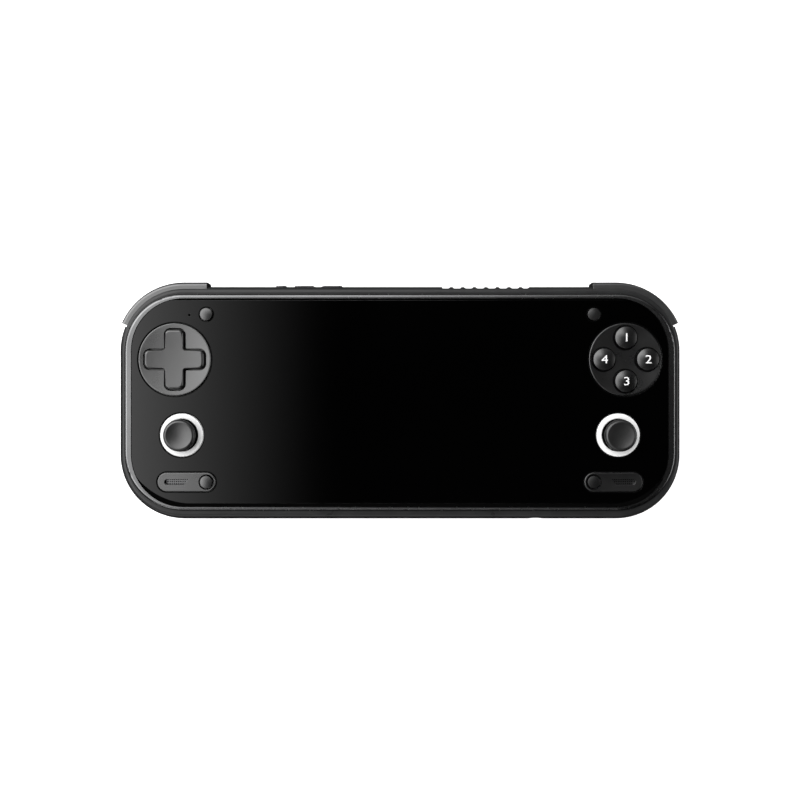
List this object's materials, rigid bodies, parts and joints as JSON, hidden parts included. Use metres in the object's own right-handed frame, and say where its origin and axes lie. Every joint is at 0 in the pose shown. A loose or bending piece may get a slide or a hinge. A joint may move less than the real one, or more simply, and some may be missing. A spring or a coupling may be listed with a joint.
{
  "type": "handheld game console",
  "caption": "Slim wide handheld game console: glass front with a screen between a D-pad and face buttons, lit thumb sticks, shoulder buttons and a vented top edge.",
  "frame": {"origin": "under the middle of the whole object, on the surface that the console lies on", "axes": "+X to the player's right, +Y to the top edge with the shoulder buttons, +Z out of the screen"},
  "size_m": [0.21, 0.0886, 0.0206],
  "materials": {
    "shell_plastic": "satin",
    "bezel_metal": "satin anodised",
    "front_glass": "black printed, polished",
    "display": "polished",
    "light_dish": "satin",
    "dark_dish": "satin",
    "trim_plastic": "satin",
    "mesh_steel": "fine perforated",
    "light_guide": "milky translucent",
    "dpad_plastic": "satin",
    "button_plastic": "satin",
    "seal_foam": "matte foam",
    "membrane_rubber": "matte",
    "stick_rubber": "matte",
    "stick_plastic": "satin",
    "shoulder_plastic": "satin",
    "pin_steel": "plain",
    "board": "solder mask",
    "chip": "moulded",
    "battery_foil": "foil pouch",
    "fan_plastic": "moulded",
    "copper": "plain copper"
  },
  "bodies": {
    "console": {"front_frame": "shell_plastic", "rear_shell": "shell_plastic", "front_bezel": "bezel_metal", "front_glass": "front_glass", "display_panel": "display", "dpad_dish": "light_dish", "button_dish": "dark_dish", "left_speaker_trim": "trim_plastic", "right_speaker_trim": "trim_plastic", "speaker_meshes": "mesh_steel", "left_light_ring": "light_guide", "right_light_ring": "light_guide", "glass_seals": "seal_foam", "dpad_membrane": "membrane_rubber", "button_membrane": "membrane_rubber", "left_stick_housing": "stick_plastic", "right_stick_housing": "stick_plastic", "bumper_pins": "pin_steel", "trigger_pins": "pin_steel", "card_door_pin": "pin_steel", "shell_screws": "pin_steel", "board_screws": "pin_steel", "tact_switches": "pin_steel", "charging_port": "pin_steel", "card_socket": "pin_steel", "main_board": "board", "left_control_board": "board", "right_control_board": "board", "board_chips": "chip", "battery": "battery_foil", "fan_housing": "fan_plastic", "speakers": "fan_plastic", "heat_sink": "copper"},
    "button_top": {"button_top": "button_plastic"},
    "button_right": {"button_right": "button_plastic"},
    "button_bottom": {"button_bottom": "button_plastic"},
    "button_left": {"button_left": "button_plastic"},
    "upper_left_button": {"upper_left_button": "button_plastic"},
    "upper_right_button": {"upper_right_button": "button_plastic"},
    "lower_left_button": {"lower_left_button": "button_plastic"},
    "lower_right_button": {"lower_right_button": "button_plastic"},
    "dpad_pivot": {"dpad_pivot": "pin_steel"},
    "dpad": {"dpad": "dpad_plastic"},
    "left_bumper": {"left_bumper": "shoulder_plastic"},
    "right_bumper": {"right_bumper": "shoulder_plastic"},
    "left_trigger": {"left_trigger": "shoulder_plastic"},
    "right_trigger": {"right_trigger": "shoulder_plastic"},
    "power_button": {"power_button": "button_plastic"},
    "volume_rocker": {"volume_rocker": "button_plastic"},
    "fan_rotor": {"fan_rotor": "fan_plastic"},
    "card_door": {"card_door": "shell_plastic"},
    "left_stick_gimbal": {"left_stick_gimbal": "stick_plastic"},
    "left_stick_rocker": {"left_stick_rocker": "pin_steel"},
    "left_stick": {"left_stick_lever": "stick_plastic", "left_stick_cap": "stick_rubber"},
    "right_stick_gimbal": {"right_stick_gimbal": "stick_plastic"},
    "right_stick_rocker": {"right_stick_rocker": "pin_steel"},
    "right_stick": {"right_stick_lever": "stick_plastic", "right_stick_cap": "stick_rubber"}
  },
  "joints": [
    {"name": "button_top_press", "type": "slide", "parent": "console", "child": "button_top", "axis": [0, 0, -1], "range_m": [0, 0.0012], "stiffness_N_per_m": 1300, "deforming": ["button_membrane"]},
    {"name": "button_right_press", "type": "slide", "parent": "console", "child": "button_right", "axis": [0, 0, -1], "range_m": [0, 0.0012], "stiffness_N_per_m": 1300, "deforming": ["button_membrane"]},
    {"name": "button_bottom_press", "type": "slide", "parent": "console", "child": "button_bottom", "axis": [0, 0, -1], "range_m": [0, 0.0012], "stiffness_N_per_m": 1300, "deforming": ["button_membrane"]},
    {"name": "button_left_press", "type": "slide", "parent": "console", "child": "button_left", "axis": [0, 0, -1], "range_m": [0, 0.0012], "stiffness_N_per_m": 1300, "deforming": ["button_membrane"]},
    {"name": "upper_left_button_press", "type": "slide", "parent": "console", "child": "upper_left_button", "axis": [0, 0, -1], "range_m": [0, 0.00035], "stiffness_N_per_m": 5700},
    {"name": "upper_right_button_press", "type": "slide", "parent": "console", "child": "upper_right_button", "axis": [0, 0, -1], "range_m": [0, 0.00035], "stiffness_N_per_m": 5700},
    {"name": "lower_left_button_press", "type": "slide", "parent": "console", "child": "lower_left_button", "axis": [0, 0, -1], "range_m": [0, 0.00035], "stiffness_N_per_m": 5700},
    {"name": "lower_right_button_press", "type": "slide", "parent": "console", "child": "lower_right_button", "axis": [0, 0, -1], "range_m": [0, 0.00035], "stiffness_N_per_m": 5700},
    {"name": "dpad_tilt_up_down", "type": "hinge", "parent": "console", "child": "dpad_pivot", "pos_m": [-0.0838, 0.01525, 0.0127], "axis": [1, 0, 0], "range_deg": [-3, 3], "stiffness_Nm_per_rad": 0.38, "deforming": ["dpad_membrane"]},
    {"name": "dpad_tilt_left_right", "type": "hinge", "parent": "dpad_pivot", "child": "dpad", "pos_m": [-0.0838, 0.01525, 0.0127], "axis": [0, 1, 0], "range_deg": [-3, 3], "stiffness_Nm_per_rad": 0.38, "deforming": ["dpad_membrane"]},
    {"name": "left_stick_tilt_up_down", "type": "hinge", "parent": "console", "child": "left_stick_gimbal", "pos_m": [-0.0812, -0.0129, 0.008], "axis": [1, 0, 0], "range_deg": [-12, 12], "stiffness_Nm_per_rad": 0.016},
    {"name": "left_stick_tilt_left_right", "type": "hinge", "parent": "left_stick_gimbal", "child": "left_stick_rocker", "pos_m": [-0.0812, -0.0129, 0.008], "axis": [0, 1, 0], "range_deg": [-12, 12], "stiffness_Nm_per_rad": 0.016},
    {"name": "left_stick_click", "type": "slide", "parent": "left_stick_rocker", "child": "left_stick", "axis": [0, 0, -1], "range_m": [0, 0.0004], "stiffness_N_per_m": 7500},
    {"name": "left_bumper_press", "type": "hinge", "parent": "console", "child": "left_bumper", "pos_m": [-0.0742, 0.04005, 0.01], "axis": [0, 0, 1], "range_deg": [0, 1.2], "stiffness_Nm_per_rad": 2.9},
    {"name": "left_trigger_pull", "type": "hinge", "parent": "console", "child": "left_trigger", "pos_m": [-0.08, 0.03875, 0.0045], "axis": [-1, 0, 0], "range_deg": [0, 12], "stiffness_Nm_per_rad": 0.03},
    {"name": "right_stick_tilt_up_down", "type": "hinge", "parent": "console", "child": "right_stick_gimbal", "pos_m": [0.0812, -0.0129, 0.008], "axis": [1, 0, 0], "range_deg": [-12, 12], "stiffness_Nm_per_rad": 0.016},
    {"name": "right_stick_tilt_left_right", "type": "hinge", "parent": "right_stick_gimbal", "child": "right_stick_rocker", "pos_m": [0.0812, -0.0129, 0.008], "axis": [0, 1, 0], "range_deg": [-12, 12], "stiffness_Nm_per_rad": 0.016},
    {"name": "right_stick_click", "type": "slide", "parent": "right_stick_rocker", "child": "right_stick", "axis": [0, 0, -1], "range_m": [0, 0.0004], "stiffness_N_per_m": 7500},
    {"name": "right_bumper_press", "type": "hinge", "parent": "console", "child": "right_bumper", "pos_m": [0.0742, 0.04005, 0.01], "axis": [0, 0, -1], "range_deg": [0, 1.2], "stiffness_Nm_per_rad": 2.9},
    {"name": "right_trigger_pull", "type": "hinge", "parent": "console", "child": "right_trigger", "pos_m": [0.08, 0.03875, 0.0045], "axis": [-1, 0, 0], "range_deg": [0, 12], "stiffness_Nm_per_rad": 0.03},
    {"name": "power_press", "type": "slide", "parent": "console", "child": "power_button", "axis": [0, -1, 0], "range_m": [0, 0.0004], "stiffness_N_per_m": 5000},
    {"name": "volume_rock", "type": "hinge", "parent": "console", "child": "volume_rocker", "pos_m": [-0.0309, 0.04, 0.0096], "axis": [0, 0, 1], "range_deg": [-1.6, 1.6], "stiffness_Nm_per_rad": 0.43},
    {"name": "fan_spin", "type": "hinge", "parent": "console", "child": "fan_rotor", "pos_m": [0.0322, 0.01615, 0.0058], "axis": [0, 0, 1], "continuous": true},
    {"name": "card_door_swing", "type": "hinge", "parent": "console", "child": "card_door", "pos_m": [0.03325, -0.0436, 0.00905], "axis": [0, 0, -1], "range_deg": [0, 95]}
  ]
}
